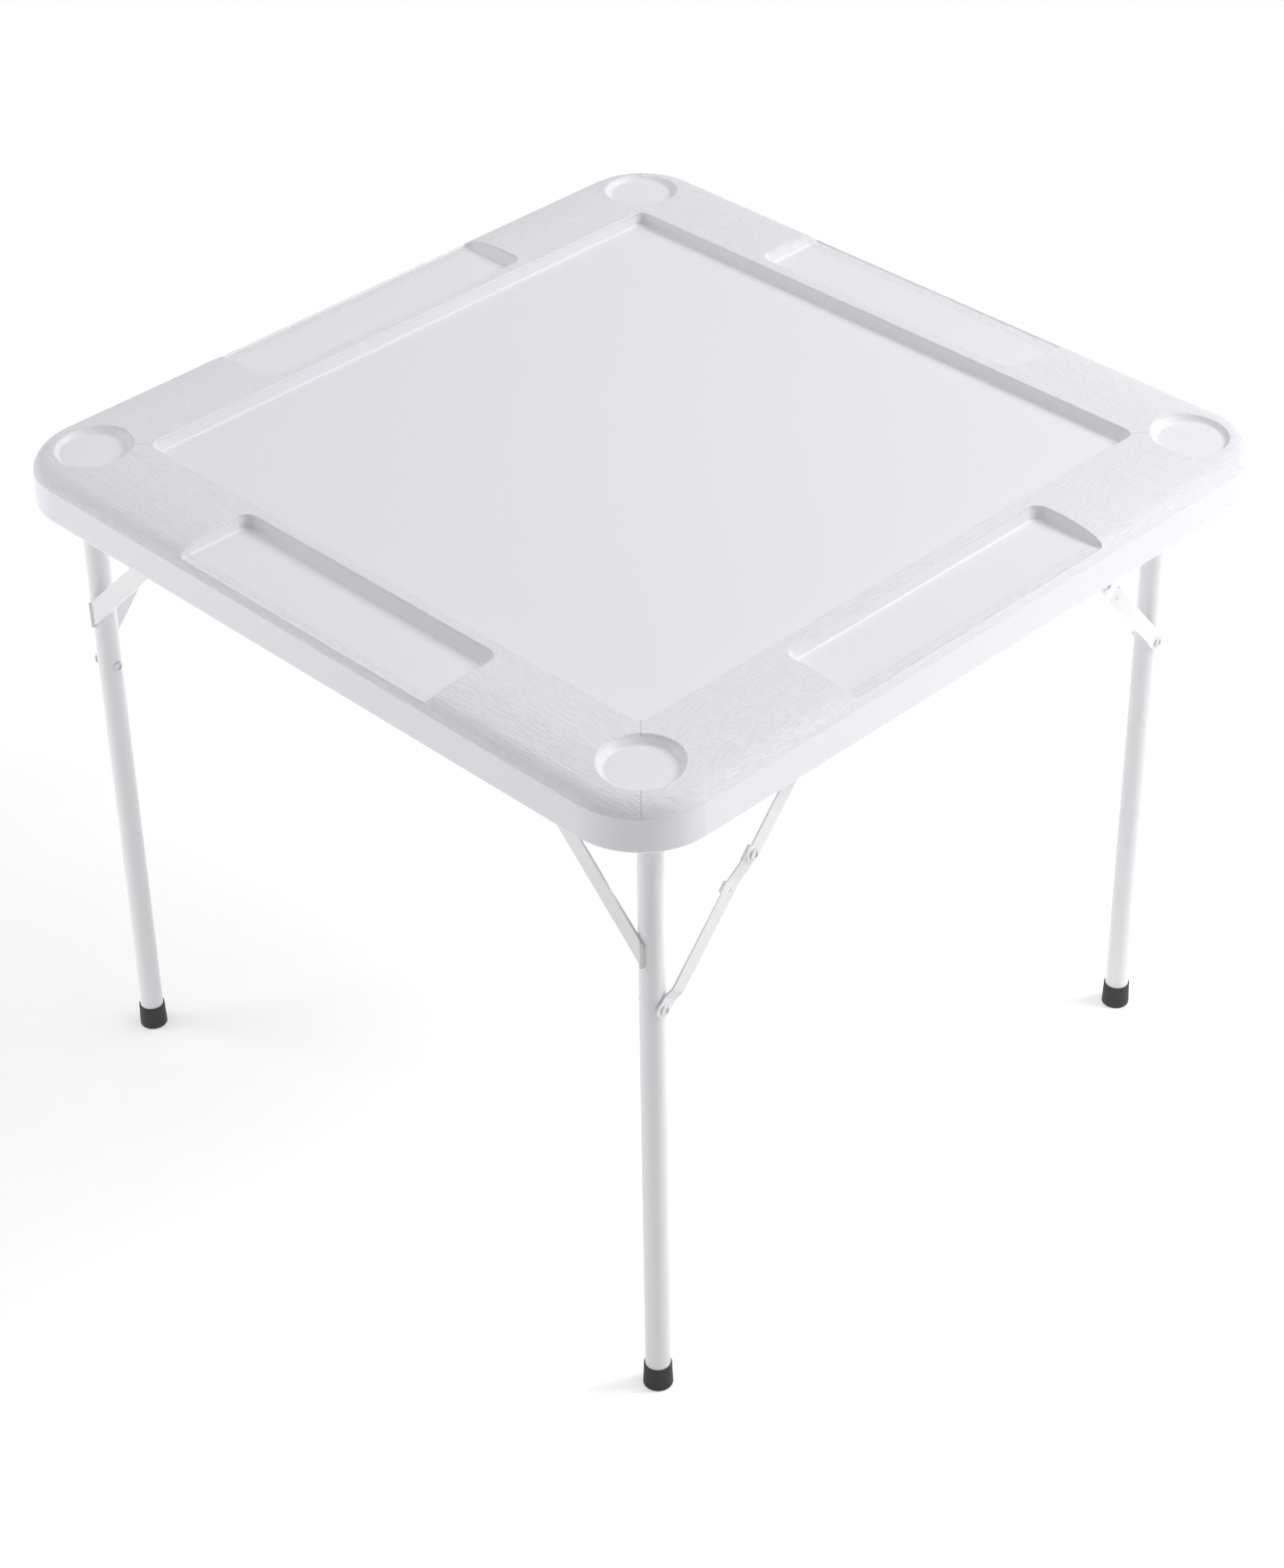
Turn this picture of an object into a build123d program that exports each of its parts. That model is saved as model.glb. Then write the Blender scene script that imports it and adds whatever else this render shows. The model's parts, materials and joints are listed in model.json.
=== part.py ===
from build123d import *
import os
from math import atan, degrees, hypot, radians, cos, sin

os.makedirs("parts", exist_ok=True)

# The table stands on z = 0 with its centre on the z axis.
# The wide leg frame carries the left and front legs along the -y side,
# and the narrow one carries the back and right legs along the +y side.

# Overall sizes of the tabletop moulding
table_side = 890
table_height = 740
rim_depth = 55
corner_radius = 78
crown_from_side = 65
shoulder_from_side = 18
shoulder_drop = 4.8
crease_drop = 19.5
crease_round = 3
side_lean = 1.2
rim_bottom_round = 3
rim_width = 22
cavity_corner_radius = 38
cut_overrun = 30
touching = 0.001

# Sunken playing field in the middle of the top
field_from_side = 104.5
field_depth = 13
field_corner_radius = 12
field_wall_lean = 3
field_foot_round = 1.6
field_edge_round = 1

# One round cup holder in each corner
cup_centre_from_side = 65.7
cup_mouth_radius = 41
cup_floor_radius = 33.6
cup_depth = 8.5
cup_foot_round = 3
cup_edge_round = 1

# One chip tray along each side, cut through the rounded rim down to a low lip
tray_depth = 13
tray_inner_edge_from_side = 92
tray_lip_from_side = 2.6
tray_end_from_side = 269.5
tray_wall_lean = 5
tray_inner_corner_radius = 14
tray_lip_corner_radius = 7
tray_foot_round = 2.5
tray_edge_round = 1

# Underside of the moulding: a flat lane for the folded legs round a ribbed middle panel
lane_ceiling_below_top = 20.5
panel_gap = 7
panel_end_gap = 10.5
panel_drop = 9
panel_corner_radius = 24
pocket_columns = 6
pocket_rows = 7
pocket_rib = 18
pocket_border = 26
pocket_depth = 3.5
pocket_corner_radius = 12

# Leg tubes and the cross tubes that they are welded to
tube_diameter = 25
tube_wall = 1.3
axle_from_rim = 42
axle_past_leg = 5.6

# Room between the folded frames, the rim and the top
bracket_to_rim = 3.9
leg_to_bracket = 6.1
cap_under_top = 0.7
cap_over_gusset = 1.4

# Rubber foot caps
cap_height = 27
cap_floor = 4
cap_bottom_radius = 14.8
cap_top_radius = 13.8
cap_bottom_round = 1.5
cap_fit = 0.05

# Flat bar gussets between each leg and its cross tube
gusset_drop = 156.5
gusset_width = 20
gusset_thickness = 2.5
gusset_past_axis = 1
gusset_seat = 0.3

# Folding braces: a lower link on each leg and an upper link under the tabletop
brace_rivet_below_axle = 221
brace_fold_offset = 32
link_width = 17
link_thickness = 2
eye_gap = 0.4
link_gap = 0.2
eye_joggle_start = 12
eye_joggle_end = 22
eye_joggle_step = 4
knee_joggle_start = 28.5
knee_joggle_end = 13
knee_joggle_step = 3
dimple_from_knee = 38.6
dimple_radius = 2.2
stop_thickness = 1.8
stop_gap = 0.2
catch_start_from_knee = 44
catch_end_from_knee = 32
catch_reach = 2
knee_stop_before = 8.6
knee_stop_after = 6.7
knee_stop_reach = 1.8

# Tubular rivets
rivet_radius = 3
rivet_head_radius = 4.8
rivet_head_thickness = 1.5
rivet_head_round = 0.6
rivet_dimple_radius = 3.5
rivet_dimple_depth = 0.7
pin_fit = 0.05
rivet_play = 0.1
flush_head_radius = 4.4
flush_head_depth = 1.2

# Steel brackets under the top and their screws
axle_plate = 2.5
axle_ear_radius = 16.5
axle_bracket_gap = 0.6
axle_flange_width = 12.5
axle_flange_length = 62
axle_flange_shift = 13
axle_screw_offset = 6.8
axle_screw_spacing = 46
axle_fit = 0.06
anchor_plate = 2
anchor_gap = 0.3
anchor_ear_radius = 9
anchor_flange_width = 19
anchor_flange_length = 48
anchor_screw_offset = 8.5
anchor_screw_spacing = 33
screw_radius = 2
screw_length = 6.6
screw_head_radius = 3.6
screw_head_height = 1.9
screw_recess_radius = 1.5
screw_recess_depth = 1
screw_fit = 0.05

# Heights, radii and places worked out from the sizes above
half_side = table_side / 2
rim_bottom = table_height - rim_depth
lane_ceiling = table_height - lane_ceiling_below_top
tube_radius = tube_diameter / 2
axle_y = half_side - rim_width - axle_from_rim
cup_offset = half_side - cup_centre_from_side
link_half_width = link_width / 2
side_length = table_side - 2 * corner_radius
rest_on_floor = (Align.CENTER, Align.CENTER, Align.MIN)
hang_from_top = (Align.CENTER, Align.CENTER, Align.MAX)

# Distances outward from a leg's centre line to the inner face of each piece beside it
eye_face = tube_radius + eye_gap
main_face = eye_face + eye_joggle_step
knee_face = main_face + knee_joggle_step
upper_face = knee_face + link_thickness + link_gap
anchor_face = upper_face + link_thickness + anchor_gap
anchor_reach = anchor_face + anchor_plate + rivet_head_thickness
axle_ear_face = tube_radius + axle_bracket_gap

# The wide frame's brackets stand just inside the rim, and the narrow frame with its braces folds
# between the wide frame's legs.
wide_leg_x = half_side - rim_width - bracket_to_rim - axle_flange_width - axle_plate - axle_ear_face
narrow_leg_x = wide_leg_x - tube_radius - leg_to_bracket - anchor_reach

# The narrow frame lies close under the top when folded, with its caps above the wide one's gussets.
narrow_axle_z = lane_ceiling - cap_bottom_radius - cap_under_top
wide_axle_z = narrow_axle_z - cap_bottom_radius - cap_over_gusset + tube_radius - gusset_seat


class Leg:
    """Where one leg stands, and the brace sizes that follow from the height of its axle."""

    def __init__(self, name, x, axle_z, x_sign, y_sign):
        self.name = name
        self.x = x
        self.axle_z = axle_z
        self.x_sign = x_sign
        self.y_sign = y_sign
        # The brace hangs from a pin level with the axle. It is straight while the leg stands and
        # doubled on itself once the leg lies along the top, which fixes the length of both links.
        reach = brace_rivet_below_axle - brace_fold_offset
        span = hypot(reach, brace_rivet_below_axle)
        self.rivet_z = axle_z - brace_rivet_below_axle
        self.anchor_y = -axle_y + reach
        self.lower_length = (span + brace_fold_offset) / 2
        self.upper_length = (span - brace_fold_offset) / 2
        self.brace_angle = degrees(atan(brace_rivet_below_axle / reach))

    def place(self, shape):
        """Move a shape made for a leg in the +x, -y corner to this leg's own corner."""
        if self.y_sign > 0:
            shape = mirror(shape, about=Plane.XZ)
        if self.x_sign < 0:
            shape = mirror(shape, about=Plane.YZ)
        return shape

    def brace_plane(self, outward):
        """Plane along the standing brace: x runs up the brace from the leg rivet, y outwards."""
        turn = radians(self.brace_angle)
        origin = (self.x + outward, -axle_y, self.rivet_z)
        up_brace = (0, cos(turn), sin(turn))
        across = (0, sin(turn), -cos(turn))
        return Location(Plane(origin=origin, x_dir=up_brace, z_dir=across))


legs = [
    Leg("left", wide_leg_x, wide_axle_z, -1, -1),
    Leg("front", wide_leg_x, wide_axle_z, 1, -1),
    Leg("right", narrow_leg_x, narrow_axle_z, 1, 1),
    Leg("back", narrow_leg_x, narrow_axle_z, -1, 1),
]


def x_rod(radius, start, length):
    """A cylinder along x that starts at a given x."""
    return Pos(start, 0, 0) * Rotation(0, 90, 0) * Cylinder(radius, length, align=rest_on_floor)


def slab(sketch, low_z, high_z):
    """A flat sketch raised between two heights."""
    return Pos(0, 0, low_z) * extrude(sketch, high_z - low_z)


def leaning_pocket(sketch, depth, lean, foot_round):
    """A pocket below the top's surface whose wall leans in towards a rounded foot."""
    lean_angle = degrees(atan(lean / depth))
    pocket = Pos(0, 0, table_height) * extrude(sketch, -depth, taper=lean_angle)
    return fillet(pocket.edges().group_by(Axis.Z)[0], foot_round)


def clear_above(sketch):
    """Everything above the top's surface within an outline."""
    return Pos(0, 0, table_height) * extrude(sketch, cut_overrun)


def cup_cutter():
    """The shallow round cup holder in the +x, +y corner."""
    cup = Cone(cup_floor_radius, cup_mouth_radius, cup_depth, align=hang_from_top)
    cup = fillet(cup.edges().group_by(Axis.Z)[0], cup_foot_round)
    return Pos(cup_offset, cup_offset, table_height) * cup


def tray_outline():
    """Plan of the tray on the -y side at the height of the top, with rounded corners."""
    length = table_side - 2 * tray_end_from_side
    width = tray_inner_edge_from_side - tray_lip_from_side
    face = Pos(0, tray_lip_from_side + width / 2 - half_side) * Rectangle(length, width)
    face = fillet(face.vertices().group_by(Axis.Y)[-1], tray_inner_corner_radius)
    return fillet(face.vertices().group_by(Axis.Y)[0], tray_lip_corner_radius)


def tray_cutter():
    """The chip tray on the -y side, open above."""
    outline = tray_outline()
    return leaning_pocket(outline, tray_depth, tray_wall_lean, tray_foot_round) + clear_above(outline)


def middle_panel():
    """The thicker middle of the underside, pressed into a grid of shallow pockets."""
    low_z = lane_ceiling - panel_drop
    panel_width = 2 * (narrow_leg_x - tube_radius - panel_gap)
    panel_length = 2 * (axle_y - tube_radius - panel_end_gap)
    panel = slab(RectangleRounded(panel_width, panel_length, panel_corner_radius), low_z, lane_ceiling)
    pitch_x = (panel_width - 2 * pocket_border + pocket_rib) / pocket_columns
    pitch_y = (panel_length - 2 * pocket_border + pocket_rib) / pocket_rows
    pocket = RectangleRounded(pitch_x - pocket_rib, pitch_y - pocket_rib, pocket_corner_radius)
    cutter = slab(pocket, low_z - pocket_depth, low_z + pocket_depth)
    return panel - [place * cutter for place in GridLocations(pitch_x, pitch_y, pocket_columns, pocket_rows)]


def axle_screw_places(leg):
    """Plan points of the two screws of an axle bracket, for a leg in the +x, -y corner."""
    x = leg.x + axle_ear_face + axle_plate + axle_screw_offset
    y = -axle_y + axle_flange_shift
    return [(x, y + side * axle_screw_spacing / 2) for side in (-1, 1)]


def anchor_screw_places(leg):
    """Plan points of the two screws of a brace bracket, for a leg in the +x, -y corner."""
    x = leg.x + anchor_face - anchor_screw_offset
    return [(x, leg.anchor_y + side * anchor_screw_spacing / 2) for side in (-1, 1)]


def screw_holes(places, low_z, depth):
    """Upright holes for screws, from a height upwards."""
    hole = Cylinder(screw_radius + screw_fit, depth, align=rest_on_floor)
    return [Pos(x, y, low_z) * hole for x, y in places]


def edge_section():
    """Section of the top's edge, x inwards from the side: a crown, a shoulder and a leaning side."""
    crown = TangentArc((crown_from_side, 0), (shoulder_from_side, -shoulder_drop), tangent=(-1, 0))
    shoulder = TangentArc(crown @ 1, (side_lean, -crease_drop), tangent=crown % 1)
    inner_corners = [(corner_radius, -rim_depth), (corner_radius, 0)]
    under = Polyline(shoulder @ 1, (0, -rim_depth), *inner_corners, crown @ 0)
    face = make_face(crown + shoulder + under)
    crease, bottom = face.vertices().sort_by(Axis.X)[1], face.vertices().sort_by(Axis.X)[0]
    face = fillet(crease, crease_round)
    return fillet(face.vertices().sort_by_distance(bottom)[0], rim_bottom_round)


def outer_block():
    """The moulding before anything is pressed into it: four sides, four corners and the middle."""
    face = edge_section()
    start = Plane(origin=(half_side, -side_length / 2, table_height), x_dir=(-1, 0, 0), z_dir=(0, 1, 0))
    side = extrude(start * face, side_length)
    end = Plane(origin=(half_side, side_length / 2, table_height), x_dir=(-1, 0, 0), z_dir=(0, 1, 0))
    corner_axis = Axis((side_length / 2, side_length / 2, 0), (0, 0, 1))
    corner = revolve(end * face, corner_axis, 90)
    block = Pos(0, 0, table_height) * Box(side_length, side_length, rim_depth, align=hang_from_top)
    for turn in range(4):
        block += Rotation(0, 0, 90 * turn) * (side + corner)
    return block


def mouth_edges(body, block, cutter):
    """The edges of a body where a cutter broke through the surface of the uncut block."""
    skins = (block.shell(), cutter.shell())
    return [edge for edge in body.edges() if max(skin.distance_to(edge @ 0.5) for skin in skins) < touching]


def pressed(body, block, cutter, mouth_round):
    """A body with one pocket pressed into it, its mouth rounded."""
    body -= cutter
    return fillet(mouth_edges(body, block, cutter), mouth_round)


def tabletop():
    """The one-piece moulded top: rim, playing field, cup holders, trays and underside."""
    block = outer_block()
    cavity_side = table_side - 2 * rim_width
    cavity = RectangleRounded(cavity_side, cavity_side, cavity_corner_radius)
    body = block - slab(cavity, rim_bottom - cut_overrun, lane_ceiling)
    body += middle_panel()
    field_side = table_side - 2 * field_from_side
    field = RectangleRounded(field_side, field_side, field_corner_radius)
    field_cutter = leaning_pocket(field, field_depth, field_wall_lean, field_foot_round)
    body = pressed(body, block, field_cutter, field_edge_round)
    for turn in range(4):
        body = pressed(body, block, Rotation(0, 0, 90 * turn) * cup_cutter(), cup_edge_round)
        body = pressed(body, block, Rotation(0, 0, 90 * turn) * tray_cutter(), tray_edge_round)
    for leg in legs:
        depth = screw_length - anchor_plate + screw_fit
        places = axle_screw_places(leg) + anchor_screw_places(leg)
        body -= [leg.place(hole) for hole in screw_holes(places, lane_ceiling, depth)]
    return body


def leg_tube(leg):
    """A leg: a steel tube, coped at its top onto the cross tube, drilled for the brace rivet."""
    length = leg.axle_z - cap_floor
    tube = Cylinder(tube_radius, length, align=rest_on_floor)
    tube -= Cylinder(tube_radius - tube_wall, length, align=rest_on_floor)
    tube = Pos(leg.x, -axle_y, cap_floor) * tube
    tube -= Pos(leg.x, -axle_y, leg.axle_z) * x_rod(tube_radius, -tube_diameter, 2 * tube_diameter)
    tube -= Pos(leg.x, -axle_y, leg.rivet_z) * x_rod(rivet_radius, -tube_diameter, 2 * tube_diameter)
    return leg.place(tube)


def cross_tube(leg):
    """The tube that joins a frame's two legs and turns in the axle brackets."""
    half_length = leg.x + tube_radius + axle_past_leg
    tube = x_rod(tube_radius, -half_length, 2 * half_length)
    tube -= x_rod(tube_radius - tube_wall, -half_length, 2 * half_length)
    return Pos(0, leg.y_sign * axle_y, leg.axle_z) * tube


def foot_cap(leg):
    """A rubber cap pushed over the end of a leg, a little wider at the floor."""
    cap = Cone(cap_bottom_radius, cap_top_radius, cap_height, align=rest_on_floor)
    cap = fillet(cap.edges().group_by(Axis.Z)[0], cap_bottom_round)
    bore = Cylinder(tube_radius + cap_fit, cap_height, align=rest_on_floor)
    cap -= Pos(0, 0, cap_floor) * bore
    return leg.place(Pos(leg.x, -axle_y, 0) * cap)


def gusset(leg):
    """A flat bar welded across the corner between a leg and its cross tube, on the outer side."""
    low_x = leg.x + gusset_past_axis
    high_z = leg.axle_z + gusset_past_axis
    half_rise = gusset_width / 2 ** 0.5
    middle = leg.x + leg.axle_z - gusset_drop
    corners = [
        (low_x, middle - half_rise - low_x),
        (low_x, middle + half_rise - low_x),
        (middle + half_rise - high_z, high_z),
        (middle - half_rise - high_z, high_z),
    ]
    outline = make_face(Polyline(*corners, close=True))
    bar = extrude(Plane.XZ * outline, gusset_thickness)
    bar = Pos(0, -axle_y - tube_radius + gusset_seat, 0) * bar
    bar -= Pos(leg.x, -axle_y, 0) * Cylinder(tube_radius, table_height, align=rest_on_floor)
    bar -= Pos(0, -axle_y, leg.axle_z) * x_rod(tube_radius, 0, leg.x)
    return leg.place(bar)


def rivet_head():
    """A rounded head with a dimple, its flat side on x = 0 and its dome towards +x."""
    head = x_rod(rivet_head_radius, 0, rivet_head_thickness)
    head = fillet(head.edges().group_by(Axis.X)[-1], rivet_head_round)
    return head - x_rod(rivet_dimple_radius, rivet_head_thickness - rivet_dimple_depth, rivet_dimple_depth)


def leg_rivet(leg):
    """The inner part of the rivet through a leg: a head on the inside and the shank."""
    body = x_rod(rivet_radius, -tube_radius, tube_diameter)
    body += Pos(-tube_radius, 0, 0) * mirror(rivet_head(), about=Plane.YZ)
    return leg.place(Pos(leg.x, -axle_y, leg.rivet_z) * body)


def leg_rivet_head(leg):
    """The outer end of the rivet through a leg, closed over the eye of the lower link."""
    body = x_rod(rivet_radius, eye_face, link_thickness)
    body += Pos(eye_face + link_thickness, 0, 0) * rivet_head()
    return leg.place(Pos(leg.x, -axle_y, leg.rivet_z) * body)


def pin_hole(along, radius):
    """A hole across a link at a distance along it."""
    return Pos(along, 0, 0) * Rotation(90, 0, 0) * Cylinder(radius, 2 * cut_overrun)


def bent_strip(points):
    """A strip whose inner face runs through points of distance along and step outwards."""
    outer = [(along, step + link_thickness) for along, step in reversed(points)]
    profile = make_face(Polyline(*points, *outer, close=True))
    return extrude(profile, link_half_width, both=True)


def round_ended(strip, start, end):
    """Round both ends of a strip about the pins at the given distances along it."""
    outline = Pos((start + end) / 2, 0) * SlotCenterToCenter(end - start, link_width)
    return strip & extrude(Plane.XZ * outline, 2 * cut_overrun, both=True)


def edge_tab(start, end, step, reach):
    """A tab on the axle side of a link, bent inwards from the plane at a step."""
    length = end - start
    shelf = stop_gap + stop_thickness
    root = Box(length, link_thickness, shelf, align=(Align.MIN, Align.MIN, Align.MAX))
    leaf = Box(length, reach, stop_thickness, align=(Align.MIN, Align.MAX, Align.MAX))
    tab = root + Pos(0, 0, -stop_gap) * leaf
    return Pos(start, step, -link_half_width) * tab


def lower_link(leg):
    """The lower brace link: an eye on the leg, a step outwards, a long run and a step at the knee."""
    length = leg.lower_length
    knee_step = eye_joggle_step + knee_joggle_step
    points = [
        (-link_half_width, 0),
        (eye_joggle_start, 0),
        (eye_joggle_end, eye_joggle_step),
        (length - knee_joggle_start, eye_joggle_step),
        (length - knee_joggle_end, knee_step),
        (length + link_half_width, knee_step),
    ]
    strip = round_ended(bent_strip(points), 0, length)
    strip -= pin_hole(0, rivet_radius)
    strip -= pin_hole(length, rivet_radius)
    strip -= pin_hole(length - dimple_from_knee, dimple_radius)
    catch_start = length - catch_start_from_knee
    catch_end = length - catch_end_from_knee
    strip += edge_tab(catch_start, catch_end, eye_joggle_step, catch_reach)
    return leg.place(leg.brace_plane(eye_face) * strip)


def upper_link(leg):
    """The upper brace link: flat, with a stop tab that lies over the edge of the lower link."""
    start = leg.lower_length
    end = start + leg.upper_length
    points = [(start - link_half_width, 0), (end + link_half_width, 0)]
    strip = round_ended(bent_strip(points), start, end)
    strip += edge_tab(start - knee_stop_before, start + knee_stop_after, 0, knee_stop_reach)
    strip -= pin_hole(start, rivet_radius + pin_fit)
    strip -= pin_hole(end, rivet_radius + pin_fit)
    wide = flush_head_radius + pin_fit
    narrow = rivet_radius + pin_fit
    countersink = Cone(wide, narrow, flush_head_depth, align=rest_on_floor)
    strip -= Pos(end, 0, 0) * Rotation(-90, 0, 0) * countersink
    return leg.place(leg.brace_plane(upper_face) * strip)


def knee_rivet(leg):
    """The rivet that joins the two links at the knee."""
    length = upper_face + link_thickness + rivet_play - knee_face
    body = x_rod(rivet_radius, 0, length)
    body += Pos(length, 0, 0) * rivet_head()
    body += mirror(rivet_head(), about=Plane.YZ)
    knee = leg.brace_plane(knee_face) * Pos(leg.lower_length, 0, 0)
    return leg.place(Pos(knee.position.X, knee.position.Y, knee.position.Z) * body)


def anchor_rivet(leg):
    """The rivet that hangs the upper link on its bracket, flush on the inner side."""
    length = anchor_face + anchor_plate - upper_face
    body = x_rod(rivet_radius, 0, length)
    body += Pos(length, 0, 0) * rivet_head()
    body += Rotation(0, 90, 0) * Cone(flush_head_radius, rivet_radius, flush_head_depth, align=rest_on_floor)
    return leg.place(Pos(leg.x + upper_face, leg.anchor_y, leg.axle_z) * body)


def hanging_ear(flange_length, shift, drop, ear_radius, thickness):
    """An upright plate from the lane ceiling down round a pin, its inner face on x = 0."""
    outer_y = shift - flange_length / 2
    inner_y = shift + flange_length / 2
    tapered = Polyline((outer_y, drop), (-ear_radius, 0), (ear_radius, 0), (inner_y, drop), close=True)
    below_ceiling = Rectangle(flange_length, drop + ear_radius, align=(Align.CENTER, Align.MAX))
    outline = (make_face(tapered) + Circle(ear_radius)) & Pos(shift, drop) * below_ceiling
    return extrude(Plane.YZ * outline, thickness)


def axle_bracket(leg):
    """A bracket with a round ear for the end of the cross tube and a flange screwed to the top."""
    drop = lane_ceiling - leg.axle_z
    ear = hanging_ear(axle_flange_length, axle_flange_shift, drop, axle_ear_radius, axle_plate)
    ear -= x_rod(tube_radius + axle_fit, 0, axle_plate)
    inner_x = leg.x + axle_ear_face
    flange_width = axle_plate + axle_flange_width
    flange = Box(flange_width, axle_flange_length, axle_plate, align=(Align.MIN, Align.CENTER, Align.MAX))
    flange_y = -axle_y + axle_flange_shift
    bracket = Pos(inner_x, -axle_y, leg.axle_z) * ear + Pos(inner_x, flange_y, lane_ceiling) * flange
    bracket -= screw_holes(axle_screw_places(leg), lane_ceiling - axle_plate, axle_plate)
    return leg.place(bracket)


def brace_bracket(leg):
    """A bracket with an ear for the brace's upper rivet and a flange screwed to the top."""
    drop = lane_ceiling - leg.axle_z
    ear = hanging_ear(anchor_flange_length, 0, drop, anchor_ear_radius, anchor_plate)
    ear -= x_rod(rivet_radius, 0, anchor_plate)
    outer_x = leg.x + anchor_face + anchor_plate
    hang_inwards = (Align.MAX, Align.CENTER, Align.MAX)
    flange = Box(anchor_flange_width, anchor_flange_length, anchor_plate, align=hang_inwards)
    bracket = Pos(leg.x + anchor_face, leg.anchor_y, leg.axle_z) * ear
    bracket += Pos(outer_x, leg.anchor_y, lane_ceiling) * flange
    bracket -= screw_holes(anchor_screw_places(leg), lane_ceiling - anchor_plate, anchor_plate)
    return leg.place(bracket)


def screw():
    """A pan-head screw pointing up, the underside of its head on z = 0."""
    body = Cylinder(screw_radius, screw_length, align=rest_on_floor)
    body += Cylinder(screw_head_radius, screw_head_height, align=hang_from_top)
    recess = Cylinder(screw_recess_radius, screw_recess_depth, align=rest_on_floor)
    return body - Pos(0, 0, -screw_head_height) * recess


def bracket_screws():
    """All the screws that hold the brackets to the underside."""
    screws = []
    for leg in legs:
        for x, y in axle_screw_places(leg):
            screws.append(leg.place(Pos(x, y, lane_ceiling - axle_plate) * screw()))
        for x, y in anchor_screw_places(leg):
            screws.append(leg.place(Pos(x, y, lane_ceiling - anchor_plate) * screw()))
    return Compound(children=screws)


def save(shape, node):
    """Write one node of the table."""
    export_step(shape, "parts/" + node + ".step")


save(tabletop(), "tabletop")
save(bracket_screws(), "bracket_screws")
save(cross_tube(legs[0]), "wide_frame_cross_tube")
save(cross_tube(legs[2]), "narrow_frame_cross_tube")
pieces = {
    "leg": leg_tube,
    "foot_cap": foot_cap,
    "gusset": gusset,
    "lower_brace": lower_link,
    "upper_brace": upper_link,
    "knee_rivet": knee_rivet,
    "leg_rivet": leg_rivet,
    "leg_rivet_head": leg_rivet_head,
    "axle_bracket": axle_bracket,
    "brace_bracket": brace_bracket,
    "brace_bracket_rivet": anchor_rivet,
}
for leg in legs:
    for piece, make in pieces.items():
        save(make(leg), leg.name + "_" + piece)
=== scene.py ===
"""Looks of a folding card table: finishes, weld beads, screws, light and camera over its fixed CAD frame."""

import json
import logging
import math
from dataclasses import dataclass, field
from enum import Enum
from typing import Any, Sequence

import bmesh
import bpy
from mathutils import Matrix, Vector

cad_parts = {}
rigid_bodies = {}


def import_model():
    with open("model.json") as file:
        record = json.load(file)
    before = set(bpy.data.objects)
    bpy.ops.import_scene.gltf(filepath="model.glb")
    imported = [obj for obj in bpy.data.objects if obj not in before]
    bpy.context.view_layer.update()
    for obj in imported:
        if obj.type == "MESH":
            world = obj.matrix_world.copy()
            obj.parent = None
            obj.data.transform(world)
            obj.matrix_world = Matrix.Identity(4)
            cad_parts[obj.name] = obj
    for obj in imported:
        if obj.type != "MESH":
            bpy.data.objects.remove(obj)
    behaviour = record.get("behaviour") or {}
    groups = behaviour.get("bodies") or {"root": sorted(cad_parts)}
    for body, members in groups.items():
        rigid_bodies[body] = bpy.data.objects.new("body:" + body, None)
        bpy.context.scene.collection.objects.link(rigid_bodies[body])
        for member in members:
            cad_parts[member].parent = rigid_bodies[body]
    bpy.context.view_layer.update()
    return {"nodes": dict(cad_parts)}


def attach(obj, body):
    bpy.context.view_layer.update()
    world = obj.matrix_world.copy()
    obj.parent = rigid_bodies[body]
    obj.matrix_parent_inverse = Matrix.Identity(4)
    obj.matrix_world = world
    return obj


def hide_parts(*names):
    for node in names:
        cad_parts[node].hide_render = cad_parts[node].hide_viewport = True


log = logging.getLogger("card_table")

Point = tuple[float, float, float]
Colour = tuple[float, float, float, float]
Loop = list[bmesh.types.BMVert]

WHITE: Colour = (1.0, 1.0, 1.0, 1.0)

# Places of the Mix node's colour sockets; its number and vector sockets have the same names
COLOUR_A, COLOUR_B, COLOUR_OUT = 6, 7, 2


def grey(value: float, tint: float = 0.0) -> Colour:
    """A near-neutral colour; a positive tint leans it towards blue."""
    return (value - tint, value - tint / 3, value + tint, 1.0)


# Shader and geometry graphs


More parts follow.
